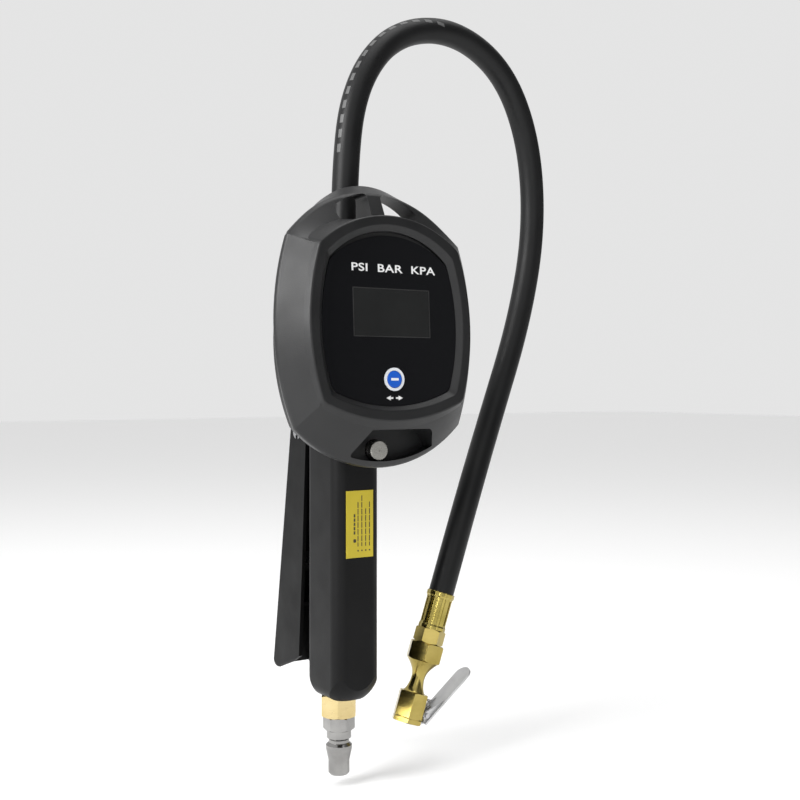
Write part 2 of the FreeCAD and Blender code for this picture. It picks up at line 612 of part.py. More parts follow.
def quick_plug():
    body = turned([(3.75, -1.0), (4.6, -1.0), (PLUG_LAND_R, 0), (PLUG_LAND_R, PLUG_LAND_LENGTH), (6.7, 12.0),
                   (6.7, 13.8), (5.3, 15.2), (5.3, 16.6), (6.3, 17.6), (6.3, 21.5), (THREAD_R, 21.5),
                   (THREAD_R, 35.5), (3.75, 35.5)])
    nut = hexagon(PLUG_HEX_FLATS, 21.5, PLUG_TOP, 27.0).cut(rod(3.75, 0, 40))
    return body.cut(ring(9, 6.3, 19, 21.5)).fuse(nut).removeSplitter()


# ---- bleed valve ----
def bleed_button():
    cap = rod_y(BLEED_R, BLEED_FACE_Y, BLEED_FACE_Y + 8, 0, BLEED_Z)
    front = [e for e in cap.Edges if e.Closed and abs(e.Vertexes[0].Y - BLEED_FACE_Y) < 1e-3]
    cap = cap.makeFillet(0.6, front)
    dimple = rod_y(0.5, BLEED_FACE_Y - 1, BLEED_FACE_Y + 0.5, 0, BLEED_Z)
    return cut(fused(cap, rod_y(1.6, BLEED_FACE_Y + 7, -8.9, 0, BLEED_Z)), dimple)


def bleed_bush():
    body = fused(rod_y(4.0, HANDLE_FRONT, -9.4, 0, BLEED_Z), rod_y(5.2, HANDLE_FRONT - 1.6, HANDLE_FRONT, 0, BLEED_Z))
    return cut(body, rod_y(1.6 + RUNNING, -30, 0, 0, BLEED_Z))


def bleed_seal():
    return along(turned([(0, 0), (2.2, 0), (2.5, 0.6), (2.5, 2.0), (0, 2.0)]), Y, Vector(0, -8.9, BLEED_Z))


# ---- gauge supply ----
def pressure_sensor():
    nut = along(hexagon(12.0, 0, 3.5, 0), Y, Vector(0, NECK_FRONT - 3.5, 205))
    body = fused(nut, rod_y(3.0, NECK_FRONT - 1, -9.5, 0, 205), rod_y(5.6, -27, NECK_FRONT - 3.5, 0, 205))
    return cut(body, rod_y(0.9, -16, -9, 0, 205))


def sensor_ribbon():
    return block(-2.2, 2.2, -42.6, -27.0, 204.6, 205.4)


def battery_leads():
    return Part.makeCompound([rod_y(0.7, -42.2, 9.3, side * 12.4, 214.0) for side in (1, -1)])


# ---- hose and its ends ----
def hose_path():
    """Straight runs joined by arcs; each arc takes 0.45 of the shorter of its two runs."""
    route = [Vector(*p) for p in HOSE_ROUTE]
    edges, start = [], route[0]
    for before, corner, after in zip(route, route[1:], route[2:]):
        into, out = corner.sub(before), after.sub(corner)
        half_turn = into.getAngle(out) / 2
        reach = 0.45 * min(into.Length, out.Length)
        radius = reach / math.tan(half_turn)
        u, v = into.normalize(), out.normalize()
        a, b = corner - u * reach, corner + v * reach
        inward = (v - u).normalize()
        centre = corner + inward * (radius / math.cos(half_turn))
        middle = centre - inward * radius
        edges += [Part.LineSegment(start, a).toShape(), Part.Arc(a, middle, b).toShape()]
        start = b
        print(f"hose arc at {tuple(corner)}: turn {math.degrees(2 * half_turn):.1f} deg, radius {radius:.1f} mm")
    edges.append(Part.LineSegment(start, route[-1]).toShape())
    return Part.Wire(edges)


def hose():
    path = hose_path()

    def pipe(r):
        return path.makePipeShell([Part.Wire(Part.makeCircle(r, Vector(*HOSE_ROUTE[0]), Z))], True, False)

    tube = pipe(HOSE_R).cut(pipe(HOSE_BORE_R))
    expected = math.pi * (HOSE_R ** 2 - HOSE_BORE_R ** 2) * path.Length
    print(f"hose length {path.Length:.1f} mm, volume {tube.Volume:.0f}, section times length {expected:.0f}")
    return tube


def hose_gland():
    """Threaded into the neck's top, with a barbed tail up inside the hose."""
    bore = 2.0
    tail = turned([(bore, 240.0), (THREAD_R, 240.0), (THREAD_R, NECK_TOP), (bore, NECK_TOP)])
    nut = hexagon(14.0, NECK_TOP, GLAND_TOP, 30).cut(rod(bore, 200, 300))
    barb = turned([(bore, GLAND_TOP - 1), (BARB_R, GLAND_TOP - 1), (BARB_R, GLAND_TOP + 15),
                   (2.6, GLAND_TOP + 17), (bore, GLAND_TOP + 17)])
    return moved(fused(nut, tail, barb), Placement(Vector(0, HOSE_AXIS_Y, 0), Rotation()))


def gland_collar():
    """Crimped collar round the hose just above the gland."""
    return ring(7.9, HOSE_R, GLAND_TOP, GLAND_TOP + 11, (0, HOSE_AXIS_Y))


def passage_plug():
    """Ball that closes the cross drilling behind the neck."""
    return rod_y(1.6, NECK_BACK - 3, NECK_BACK, 0, 239.0)


def hose_ferrule():
    """Brass sleeve with long crimp flats, a collar at its mouth and a foot at the nut."""
    low_r, crimps = 6.55, 10
    profile = [(0, 0), (7.3, 0), (7.45, 0.4), (7.45, 2.2), (6.95, 3.0), (6.95, 17.4), (7.3, 18.2),
               (7.3, FERRULE_LENGTH), (0, FERRULE_LENGTH)]
    sleeve = turned(profile)
    for k in range(crimps):
        flat = block(low_r, 9, -1.5, 1.5, 3.6, 16.8)
        sleeve = sleeve.cut(moved(flat, Placement(ORIGIN, Rotation(Z, 360.0 * k / crimps))))
    sleeve = cut(sleeve, rod(HOSE_R + 0.03, -1, HOSE_INTO_FERRULE), rod(4.0, 0, FERRULE_LENGTH + 1))
    return moved(sleeve, IN_CHUCK)


def hose_tail():
    """Barbed tail with its small hexagon, screwed into the chuck."""
    bore = 2.0
    stem = turned([(bore, 1.0), (2.6, 1.0), (BARB_R, 2.4), (BARB_R, HOSE_INTO_FERRULE),
                   (4.0, HOSE_INTO_FERRULE), (4.0, FERRULE_LENGTH), (SMALL_THREAD_R, FERRULE_LENGTH),
                   (SMALL_THREAD_R, 34.8), (bore, 34.8)])
    nut = hexagon(14.0, FERRULE_LENGTH, TAIL_HEX_END, 30.0).cut(rod(bore, 0, 60))
    return moved(stem.fuse(nut).removeSplitter(), IN_CHUCK)


# ---- air chuck ----
SEAT_S = CHUCK_MOUTH - MOUTH_DEPTH     # inner end of the mouth
SPRING_SEAT, SPRING_ALONG = 6.6, 57.8  # where the clip's spring stands, across and along the chuck


def chuck_body():
    neck_r, bar_r = 3.55, 7.6
    big = hexagon(17.0, TAIL_HEX_END, CHUCK_HEX_END, 0.0)
    shoulder = turned([(0, CHUCK_HEX_END - 1), (8.3, CHUCK_HEX_END - 1), (8.3, CHUCK_HEX_END),
                       (0, CHUCK_HEX_END)])
    waist_z = 46.5
    start, end = (8.3, CHUCK_HEX_END), (7.1, CHUCK_HEAD_START + 0.8)
    curve = Part.BSplineCurve()
    curve.interpolate([Vector(start[0], 0, start[1]), Vector(5.9, 0, 39.8), Vector(4.0, 0, 43.2),
                       Vector(neck_r, 0, waist_z), Vector(4.1, 0, 50.0), Vector(5.6, 0, 53.2),
                       Vector(end[0], 0, end[1])])
    edges = [curve.toShape(), Part.LineSegment(Vector(end[0], 0, end[1]), Vector(0, 0, end[1])).toShape(),
             Part.LineSegment(Vector(0, 0, end[1]), Vector(0, 0, start[1])).toShape(),
             Part.LineSegment(Vector(0, 0, start[1]), Vector(start[0], 0, start[1])).toShape()]
    neck = Part.Face(Part.Wire(edges)).revolve(ORIGIN, Z, 360)
    head = hexagon(14.5, CHUCK_HEAD_START, CHUCK_MOUTH, 0.0, 0.5)
    px, pz = CLIP_PIVOT
    lug = block(4, px, -2.3, 2.3, pz - LUG_R, pz + LUG_R).fuse(
        Part.makeCylinder(LUG_R, 4.6, Vector(px, -2.3, pz), Y))
    body = big.fuse([shoulder, neck, head, lug])
    slot = block(3, 12, -2.7, 2.7, CHUCK_MOUTH - 3.4, CHUCK_MOUTH + 1)
    groove = ring(12, 6.9, CHUCK_MOUTH - 3.0, CHUCK_MOUTH - 2.4)
    body = cut(body, rod(SMALL_THREAD_R, TAIL_HEX_END - 1, 35.0), rod(1.8, 34, 52), rod(3.2, SEAT_S - 9.1, SEAT_S),
               rod(MOUTH_R + 0.6, SEAT_S - 3, SEAT_S), rod(MOUTH_R, SEAT_S, CHUCK_MOUTH + 1), groove, slot,
               Part.makeCylinder(2.7, 5, Vector(SPRING_SEAT, 0, SPRING_ALONG), X),
               Part.makeCylinder(CLIP_PIN_R, 30, Vector(px, -15, pz), Y))
    return moved(body.removeSplitter(), IN_CHUCK)


def chuck_seal():
    return moved(ring(MOUTH_R + 0.6, 1.7, SEAT_S - 3, SEAT_S), IN_CHUCK)


def chuck_poppet():
    """Closes on the back of the seal; its pin is pushed in by the tyre valve."""
    profile = [(0, SEAT_S - 7.6), (1.2, SEAT_S - 7.6), (1.2, SEAT_S - 5.2), (2.8, SEAT_S - 5.2),
               (2.8, SEAT_S - 3.1), (1.1, SEAT_S - 3.1),
               (1.1, SEAT_S - 0.2), (0, SEAT_S - 0.2)]
    return moved(turned(profile), IN_CHUCK)


def clip_lever():
    """Bent sheet lever: an arm to press, two cheeks on the pin and a tooth that bites the tyre valve."""
    px, pz = CLIP_PIVOT
    half = CLIP_WIDTH / 2
    inner_face = -LUG_R - 0.1
    outer_face = inner_face - CLIP_SHEET
    arm_low, arm_top = -3.5, CLIP_LENGTH - 4.0
    arm = block(outer_face, inner_face, -half, half, arm_low, arm_top - half)
    arm = arm.fuse(Part.makeCylinder(half, CLIP_SHEET, Vector(outer_face, 0, arm_top - half), X))
    cheek = [Vector(inner_face, 0, arm_low), Vector(0, 0, -LUG_R), Vector(LUG_R - 0.05, 0, 0.3),
             Vector(inner_face, 0, 13.0)]
    cheeks = []
    for y in (-half + 1.2, half - 1.2 - CLIP_SHEET):
        cheeks += [prism([p + Vector(0, y, 0) for p in cheek], Vector(0, CLIP_SHEET, 0)),
                   Part.makeCylinder(LUG_R, CLIP_SHEET, Vector(0, y, 0), Y)]
    dimple = Part.makeSphere(2.2, Vector(outer_face - 1.5, 0, 23.0))
    in_chuck = Placement(Vector(px, 0, pz), Rotation(Y, 180 - CLIP_ANGLE))
    clip = moved(cut(arm.fuse(cheeks), dimple), in_chuck)
    tooth = [(8.5, 67.1), (9.6, 67.9), (6.4, 70.0), (4.6, 69.8), (4.8, 68.7), (6.6, 68.4)]
    clip = clip.fuse(prism([Vector(x, -2.2, z) for x, z in tooth], Vector(0, 4.4, 0)))
    clip = clip.cut(Part.makeCylinder(CLIP_PIN_R + RUNNING, 30, Vector(px, -15, pz), Y))
    return moved(clip.removeSplitter(), IN_CHUCK)


def clip_spring():
    """Pushes the clip's arm away from the chuck's head."""
    coil = coil_spring(2.2, 0.35, 0, 6.4, 3)
    return moved(along(coil, X, Vector(SPRING_SEAT, 0, SPRING_ALONG)), IN_CHUCK)


def clip_pin():
    pin = Part.makeCylinder(CLIP_PIN_R, CLIP_WIDTH, Vector(CLIP_PIVOT[0], -CLIP_WIDTH / 2, CLIP_PIVOT[1]), Y)
    return moved(pin, IN_CHUCK)


NODES = {
    "front_shell": front_shell, "face_plate": face_plate, "lcd_window": lcd_window,
    "face_gasket": face_gasket, "button_ring": button_ring, "unit_button": unit_button,
    "switch_plunger": switch_plunger, "tact_switch": tact_switch, "lcd_module": lcd_module,
    "circuit_board": circuit_board, "board_components": board_components,
    "board_screws": lambda: screws(BOARD_PLACES, BOARD_Y + BOARD_THICKNESS, 1.7, 1.2, 0.8, 5.4),
    "rear_housing": rear_housing,
    "housing_screws": lambda: screws(POST_PLACES, SCREW_SEAT_Y, 2.8, 2.2, 1.25, 16.0),
    "battery_cover": battery_cover, "battery_holder": battery_holder, "batteries": batteries,
    "battery_contacts": battery_contacts, "handle_body": handle_body, "valve_seat": valve_seat,
    "valve_guide_nut": valve_guide_nut, "stem_seal": stem_seal, "valve_stem": valve_stem,
    "valve_poppet": valve_poppet,
    "valve_spring": lambda: along(coil_spring(3.2, 0.45, 0, 12.9, 6), Y, Vector(0, -16.9, VALVE_Z)),
    "lever": lever, "lever_pin": lever_pin, "pin_clips": pin_clips, "label": label,
    "inlet_adapter": inlet_adapter, "inlet_filter": inlet_filter, "quick_plug": quick_plug,
    "bleed_button": bleed_button, "bleed_bush": bleed_bush, "bleed_seal": bleed_seal,
    "bleed_spring": lambda: along(coil_spring(3.3, 0.35, 0, 6.5, 4), Y, Vector(0, -28.5, BLEED_Z)),
    "pressure_sensor": pressure_sensor, "sensor_ribbon": sensor_ribbon, "battery_leads": battery_leads,
    "hose": hose, "hose_gland": hose_gland, "gland_collar": gland_collar, "passage_plug": passage_plug,
    "hose_ferrule": hose_ferrule, "hose_tail": hose_tail, "chuck_body": chuck_body,
    "chuck_seal": chuck_seal, "chuck_poppet": chuck_poppet,
    "poppet_spring": lambda: moved(coil_spring(2.2, 0.3, SEAT_S - 9.0, SEAT_S - 5.25, 3), IN_CHUCK),
    "clip_lever": clip_lever, "clip_spring": clip_spring, "clip_pin": clip_pin,
}

os.makedirs("parts", exist_ok=True)
for node, make in NODES.items():
    export(node, make())
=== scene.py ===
import math

import bpy
from mathutils import Matrix, Vector


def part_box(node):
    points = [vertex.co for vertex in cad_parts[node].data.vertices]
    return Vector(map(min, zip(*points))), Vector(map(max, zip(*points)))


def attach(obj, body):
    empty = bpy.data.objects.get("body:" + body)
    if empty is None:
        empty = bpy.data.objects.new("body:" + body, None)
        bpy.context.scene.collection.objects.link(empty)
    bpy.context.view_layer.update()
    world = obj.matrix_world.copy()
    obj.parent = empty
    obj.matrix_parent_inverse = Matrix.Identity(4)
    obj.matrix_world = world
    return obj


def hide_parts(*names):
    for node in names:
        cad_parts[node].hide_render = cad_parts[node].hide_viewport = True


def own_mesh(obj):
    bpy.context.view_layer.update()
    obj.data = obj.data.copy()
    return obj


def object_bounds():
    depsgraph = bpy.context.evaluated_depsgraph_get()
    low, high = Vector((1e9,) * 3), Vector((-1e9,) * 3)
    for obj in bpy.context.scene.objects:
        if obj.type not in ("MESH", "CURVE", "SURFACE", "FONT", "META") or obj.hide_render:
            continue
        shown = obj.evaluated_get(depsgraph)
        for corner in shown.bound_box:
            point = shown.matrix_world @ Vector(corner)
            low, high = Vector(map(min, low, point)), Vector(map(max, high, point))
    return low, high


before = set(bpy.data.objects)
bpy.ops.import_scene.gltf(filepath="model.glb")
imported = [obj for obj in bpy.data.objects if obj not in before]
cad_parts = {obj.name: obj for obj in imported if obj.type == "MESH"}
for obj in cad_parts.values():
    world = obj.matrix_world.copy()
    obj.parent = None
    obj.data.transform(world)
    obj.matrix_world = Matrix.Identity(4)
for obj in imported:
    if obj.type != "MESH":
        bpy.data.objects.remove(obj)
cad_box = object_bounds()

# ---- places in the object's frame, metres ----
HEAD_LEAN = math.radians(3.0)
HEAD_CENTRE = Vector((0.0, -0.030, 0.222))
PLATE_Y = -0.0495
BUTTON_X, BUTTON_Z = 0.0007, 0.1976
WINDOW_LOW, WINDOW_HIGH = (-0.0208, 0.2175), (0.0222, 0.2406)
HOSE_D = 0.0135
HOSE_ROUTE = [(0, -5, 257), (0, -5, 303), (8, -2, 349), (34, 3, 381), (74, 6, 391), (111, 8, 375),
              (132, 10, 338), (137, 11, 287), (126, 11, 233), (101, 8, 173), (75.51, -4, 128.7),
              (59.62, -4, 82.56)]


# ---- materials ----
def material(name, colour, rough, metallic=0.0, specular=0.5):
    """A Principled material; returns it with its tree and shader."""
    m = bpy.data.materials.new(name)
    m.use_nodes = True
    shader = m.node_tree.nodes["Principled BSDF"]
    shader.inputs["Base Color"].default_value = (*colour, 1.0)
    shader.inputs["Roughness"].default_value = rough
    shader.inputs["Metallic"].default_value = metallic
    shader.inputs["Specular IOR Level"].default_value = specular
    return m, m.node_tree, shader


def noise(tree, scale, detail=4.0, stretch=(1.0, 1.0, 1.0)):
    """Noise in object space, so it has a real size in metres."""
    coords = tree.nodes.new("ShaderNodeTexCoord")
    mapping = tree.nodes.new("ShaderNodeMapping")
    mapping.inputs["Scale"].default_value = stretch
    n = tree.nodes.new("ShaderNodeTexNoise")
    n.inputs["Scale"].default_value = scale
    n.inputs["Detail"].default_value = detail
    tree.links.new(coords.outputs["Object"], mapping.inputs["Vector"])
    tree.links.new(mapping.outputs["Vector"], n.inputs["Vector"])
    return n


def vary_colour(tree, shader, low, high, scale, stretch=(1.0, 1.0, 1.0)):
    n = noise(tree, scale, 3.0, stretch)
    ramp = tree.nodes.new("ShaderNodeValToRGB")
    ramp.color_ramp.elements[0].position, ramp.color_ramp.elements[1].position = 0.3, 0.7
    ramp.color_ramp.elements[0].color, ramp.color_ramp.elements[1].color = (*low, 1.0), (*high, 1.0)
    tree.links.new(n.outputs["Fac"], ramp.inputs["Fac"])
    tree.links.new(ramp.outputs["Color"], shader.inputs["Base Color"])


def vary_roughness(tree, shader, low, high, scale, stretch=(1.0, 1.0, 1.0)):
    n = noise(tree, scale, 5.0, stretch)
    spread = tree.nodes.new("ShaderNodeMapRange")
    spread.inputs["From Min"].default_value, spread.inputs["From Max"].default_value = 0.3, 0.7
    spread.inputs["To Min"].default_value, spread.inputs["To Max"].default_value = low, high
    tree.links.new(n.outputs["Fac"], spread.inputs["Value"])
    tree.links.new(spread.outputs["Result"], shader.inputs["Roughness"])


def grain(tree, shader, scale, depth, strength=0.5, stretch=(1.0, 1.0, 1.0)):
    """A fine bump, depth in metres."""
    n = noise(tree, scale, 2.0, stretch)
    bump = tree.nodes.new("ShaderNodeBump")
    bump.inputs["Strength"].default_value = strength
    bump.inputs["Distance"].default_value = depth
    tree.links.new(n.outputs["Fac"], bump.inputs["Height"])
    tree.links.new(bump.outputs["Normal"], shader.inputs["Normal"])


def moulded(name, dark, light, rough, texture=2600.0, depth=0.00012, specular=0.5):
    """Moulded plastic: slight mottling, a fine spark-eroded texture and rubbed patches."""
    m, tree, shader = material(name, dark, rough, specular=specular)
    vary_colour(tree, shader, dark, light, 45.0)
    vary_roughness(tree, shader, rough - 0.06, rough + 0.08, 60.0)
    grain(tree, shader, texture, depth)
    return m


def metal(name, dark, light, rough_low, rough_high, stretch=(1.0, 1.0, 6.0)):
    """Turned or plated metal with faint tool marks round the axis."""
    m, tree, shader = material(name, dark, rough_low, metallic=1.0)
    vary_colour(tree, shader, dark, light, 90.0)
    vary_roughness(tree, shader, rough_low, rough_high, 120.0, stretch)
    grain(tree, shader, 900.0, 0.000004, 0.06, stretch)
    return m


def ribbed(m):
    """Shallow ribs along the crimped ferrule, spaced round the axis of the hose's far end."""
    tree = m.node_tree

    def node(kind, operation, *values):
        n = tree.nodes.new(kind)
        n.operation = operation
        for socket, value in zip(n.inputs, values):
            if hasattr(value, "is_output"):
                tree.links.new(value, socket)
            else:
                socket.default_value = value
        return n

    end, before = Vector(HOSE_ROUTE[-1]) / 1000, Vector(HOSE_ROUTE[-2]) / 1000
    across = (end - before).normalized().cross(Vector((0.0, 1.0, 0.0)))
    place = tree.nodes.new("ShaderNodeTexCoord").outputs["Object"]
    offset = node("ShaderNodeVectorMath", "SUBTRACT", place, end).outputs["Vector"]
    u = node("ShaderNodeVectorMath", "DOT_PRODUCT", offset, across).outputs["Value"]
    v = node("ShaderNodeVectorMath", "DOT_PRODUCT", offset, (0.0, 1.0, 0.0)).outputs["Value"]
    angle = node("ShaderNodeMath", "ARCTAN2", u, v).outputs["Value"]
    wave = node("ShaderNodeMath", "SINE", node("ShaderNodeMath", "MULTIPLY", angle, 14.0).outputs["Value"])
    bump = tree.nodes.new("ShaderNodeBump")
    bump.inputs["Strength"].default_value = 0.5
    bump.inputs["Distance"].default_value = 0.0003
    tree.links.new(wave.outputs["Value"], bump.inputs["Height"])
    tree.links.new(bump.outputs["Normal"], tree.nodes["Principled BSDF"].inputs["Normal"])
    return m


head = moulded("head_plastic", (0.0105, 0.0107, 0.0112), (0.014, 0.0142, 0.0148), 0.36, specular=0.38)
handle = moulded("handle_nylon", (0.0034, 0.0034, 0.0037), (0.0052, 0.0052, 0.0055), 0.4,
                 texture=1900.0, depth=0.0001, specular=0.16)
lever = moulded("lever_nylon", (0.0032, 0.0032, 0.0034), (0.0048, 0.0048, 0.005), 0.44,
                texture=1900.0, depth=0.0001, specular=0.13)
component = moulded("component_black", (0.01, 0.01, 0.01), (0.02, 0.02, 0.02), 0.5)
rubber = moulded("seal_rubber", (0.012, 0.012, 0.012), (0.02, 0.02, 0.02), 0.7)
board = moulded("board_green", (0.01, 0.08, 0.03), (0.015, 0.11, 0.045), 0.4)
jacket = moulded("cell_jacket", (0.05, 0.06, 0.08), (0.07, 0.08, 0.1), 0.3)
hose_rubber = moulded("hose_rubber", (0.006, 0.0062, 0.0065), (0.009, 0.0092, 0.0096), 0.42,
                      texture=2400.0, depth=0.00008, specular=0.25)
ring_white = moulded("ring_white", (0.72, 0.74, 0.78), (0.8, 0.82, 0.85), 0.3)
button_blue = moulded("button_blue", (0.004, 0.09, 0.52), (0.006, 0.11, 0.6), 0.3)
print_white = moulded("print_white", (0.78, 0.78, 0.78), (0.86, 0.86, 0.86), 0.45)
print_dark = moulded("print_dark", (0.035, 0.028, 0.012), (0.06, 0.05, 0.02), 0.5)
print_grey = moulded("print_grey", (0.08, 0.08, 0.08), (0.11, 0.11, 0.11), 0.5)
label_yellow = moulded("label_yellow", (0.52, 0.41, 0.018), (0.58, 0.46, 0.024), 0.35)
brass = metal("brass", (0.34, 0.265, 0.07), (0.46, 0.365, 0.115), 0.16, 0.26)
ferrule_brass = ribbed(metal("ferrule_brass", (0.36, 0.29, 0.07), (0.48, 0.39, 0.115), 0.2, 0.3))
nickel = metal("nickel", (0.27, 0.265, 0.26), (0.38, 0.375, 0.365), 0.1, 0.2)
button_steel = metal("button_steel", (0.36, 0.355, 0.33), (0.46, 0.45, 0.42), 0.2, 0.32)
adapter_plate = metal("adapter_plate", (0.60, 0.47, 0.22), (0.70, 0.57, 0.30), 0.2, 0.3)
steel = metal("steel", (0.42, 0.42, 0.43), (0.56, 0.56, 0.57), 0.2, 0.4)
clip_steel = metal("clip_steel", (0.52, 0.52, 0.52), (0.66, 0.66, 0.66), 0.34, 0.5, (1.0, 1.0, 1.0))
bronze = metal("sintered_bronze", (0.35, 0.22, 0.1), (0.5, 0.34, 0.17), 0.5, 0.7, (1.0, 1.0, 1.0))
plate_gloss, tree, shader = material("face_gloss", (0.006, 0.0062, 0.0072), 0.2, specular=0.2)
vary_roughness(tree, shader, 0.14, 0.22, 30.0)
lcd, tree, shader = material("lcd_window", (0.016, 0.0165, 0.0165), 0.2, specular=0.25)
vary_colour(tree, shader, (0.015, 0.0155, 0.0155), (0.018, 0.0185, 0.0185), 60.0)

NODE_MATERIALS = {
    head: "front_shell rear_housing battery_cover",
    handle: "handle_body",
    lever: "lever",
    plate_gloss: "face_plate",
    lcd: "lcd_window lcd_module",
    rubber: "face_gasket stem_seal valve_poppet bleed_seal chuck_seal",
    ring_white: "button_ring",
    button_blue: "unit_button",
    component: "switch_plunger tact_switch board_components battery_holder sensor_ribbon battery_leads",
    board: "circuit_board",
    jacket: "batteries",
    label_yellow: "label",
    brass: "valve_seat valve_guide_nut bleed_bush hose_gland hose_tail chuck_body chuck_poppet",
    ferrule_brass: "hose_ferrule",
    adapter_plate: "inlet_adapter",
    nickel: "quick_plug",
    button_steel: "bleed_button",
    clip_steel: "clip_lever",
    bronze: "inlet_filter",
    steel: "board_screws housing_screws battery_contacts valve_stem valve_spring lever_pin pin_clips "
           "bleed_spring pressure_sensor gland_collar passage_plug poppet_spring clip_spring clip_pin",
}
for mat, names in NODE_MATERIALS.items():
    for name in names.split():
        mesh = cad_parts[name].data
        mesh.materials.clear()
        mesh.materials.append(mat)


# ---- mesh helpers ----
def head_point(x, y, z):
    """A point given in the upright head, turned with the head's lean."""
    return HEAD_CENTRE + Matrix.Rotation(-HEAD_LEAN, 3, "X") @ (Vector((x, y, z)) - HEAD_CENTRE)


def mesh_piece(name, verts, faces, mat, body="frame"):
    mesh = bpy.data.meshes.new(name)
    mesh.from_pydata([tuple(v) for v in verts], [], faces)
    mesh.materials.append(mat)
    mesh.update()
    piece = bpy.data.objects.new(name, mesh)
    bpy.context.scene.collection.objects.link(piece)
    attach(piece, body)
    return piece


def plates(name, outlines, to_world, thick, mat, body="frame"):
    """Thin closed plates from flat outlines of (across, up) points; to_world takes (across, out, up)."""
    verts, faces = [], []
    for outline in outlines:
        first, n = len(verts), len(outline)
        for out in (0.0, thick):
            verts += [to_world(a, out, b) for a, b in outline]
        faces += [tuple(range(first, first + n)), tuple(range(first + 2 * n - 1, first + n - 1, -1))]
        faces += [(first + (k + 1) % n, first + k, first + n + k, first + n + (k + 1) % n)
                  for k in range(n)]
    return mesh_piece(name, verts, faces, mat, body)


def bar(x0, x1, z0, z1, cut=0.0):
    """A rectangle with its corners cut."""
    if not cut:
        return [(x0, z0), (x1, z0), (x1, z1), (x0, z1)]
    return [(x0 + cut, z0), (x1 - cut, z0), (x1, z0 + cut), (x1, z1 - cut), (x1 - cut, z1), (x0 + cut, z1),
            (x0, z1 - cut), (x0, z0 + cut)]


def on_plate(x, out, z):
    return head_point(x, PLATE_Y - out, z)


# ---- hose ----
def nurbs(name, bevel):
    curve = bpy.data.curves.new(name, "CURVE")
    curve.dimensions = "3D"
    curve.resolution_u = 24
    curve.bevel_depth = bevel
    curve.bevel_resolution = 10
    spline = curve.splines.new("NURBS")
    spline.points.add(len(HOSE_ROUTE) - 1)
    for point, (x, y, z) in zip(spline.points, HOSE_ROUTE):
        point.co = (x / 1000, y / 1000, z / 1000, 1.0)
    spline.order_u = 3
    spline.use_endpoint_u = True
    obj = bpy.data.objects.new(name, curve)
    bpy.context.scene.collection.objects.link(obj)
    return obj


hose = nurbs("air_hose", HOSE_D / 2)
hose.data.materials.append(hose_rubber)
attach(hose, "frame")
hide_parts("hose")


def route_points():
    """Points along the hose's line, read from its spline."""
    bare = nurbs("hose_line", 0.0)
    bpy.context.view_layer.update()
    mesh = bpy.data.meshes.new_from_object(bare.evaluated_get(bpy.context.evaluated_depsgraph_get()))
    points = [v.co.copy() for v in mesh.vertices]
    bpy.data.objects.remove(bare)
    bpy.data.meshes.remove(mesh)
    return points


def hose_dashes():
    """A printed lay line of plain dashes on the hose's outer left side, curved with the hose."""
    points = route_points()
    side = Vector((-0.93, -0.36, 0.0)).normalized()
    travelled, samples = 0.0, []
    for a, b in zip(points, points[1:]):
        samples.append((travelled, a, (b - a).normalized()))
        travelled += (b - a).length
    start, end = 0.055, 0.165
    dash, gap = 0.0042, 0.0032
    half_angle, raise_by = 0.16, 0.00006

    def at(s):
        for (s0, p0, d0), (s1, p1, d1) in zip(samples, samples[1:]):
            if s0 <= s <= s1:
                t = (s - s0) / (s1 - s0)
                return p0.lerp(p1, t), d0.lerp(d1, t).normalized()
        return samples[-1][1], samples[-1][2]

    verts, faces = [], []
    s = start
    while s < end:
        first = len(verts)
        for k in range(4):
            centre, along = at(s + dash * k / 3)
            outward = (side - along * side.dot(along)).normalized()
            for j in range(5):
                turn = Matrix.Rotation(half_angle * (j - 2) / 2, 3, along)
                verts.append(centre + turn @ outward * (HOSE_D / 2 + raise_by))
        for k in range(3):
            for j in range(4):
                a = first + 5 * k + j
                faces.append((a, a + 1, a + 6, a + 5))
        s += dash + gap
    return mesh_piece("hose_lay_line", verts, faces, print_grey)


lay_line = hose_dashes()


# ---- printing on the face plate ----
def legend(name, words, size, x, z, width, mat):
    """Generic lettering on the plate, set to a given width."""
    text = bpy.data.curves.new(name + "_text", "FONT")
    text.body = words
    text.size = size
    text.align_x = "CENTER"
    text.align_y = "CENTER"
    text.offset = 0.00008
    text.extrude = 0.00002
    text.space_character = 1.06
    source = bpy.data.objects.new(name + "_text", text)
    bpy.context.scene.collection.objects.link(source)
    bpy.context.view_layer.update()
    mesh = bpy.data.meshes.new_from_object(source.evaluated_get(bpy.context.evaluated_depsgraph_get()))
    bpy.data.objects.remove(source)
    span = max(v.co.x for v in mesh.vertices) - min(v.co.x for v in mesh.vertices)
    stretch = width / span
    for v in mesh.vertices:
        v.co = on_plate(x + v.co.x * stretch, 0.00006 + v.co.z, z + v.co.y)
    mesh.materials.clear()
    mesh.materials.append(mat)
    piece = bpy.data.objects.new(name, mesh)
    bpy.context.scene.collection.objects.link(piece)
    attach(piece, "frame")


legend("unit_legend", "PSI  BAR  KPA", 0.0052, 0.0022, 0.2498, 0.047, print_white)


def arrow(x, z, way, length=0.0024, half=0.0011):
    """A plain arrow head with a short tail."""
    return [(x, z - half), (x + way * length, z), (x, z + half), (x, z + 0.35 * half),
            (x - way * 0.6 * length, z + 0.35 * half), (x - way * 0.6 * length, z - 0.35 * half),
            (x, z - 0.35 * half)]


plates("unit_pictogram", [arrow(BUTTON_X + way * 0.0022, BUTTON_Z - 0.0088, way) for way in (-1, 1)],
       on_plate, 0.00008, print_white)
mark = bar(BUTTON_X - 0.0021, BUTTON_X + 0.0021, BUTTON_Z - 0.0006, BUTTON_Z + 0.0006, 0.0002)
plates("button_mark", [mark], lambda x, out, z: head_point(x, PLATE_Y - 0.0007 - out, z), 0.00006,
       print_white, "unit_button")


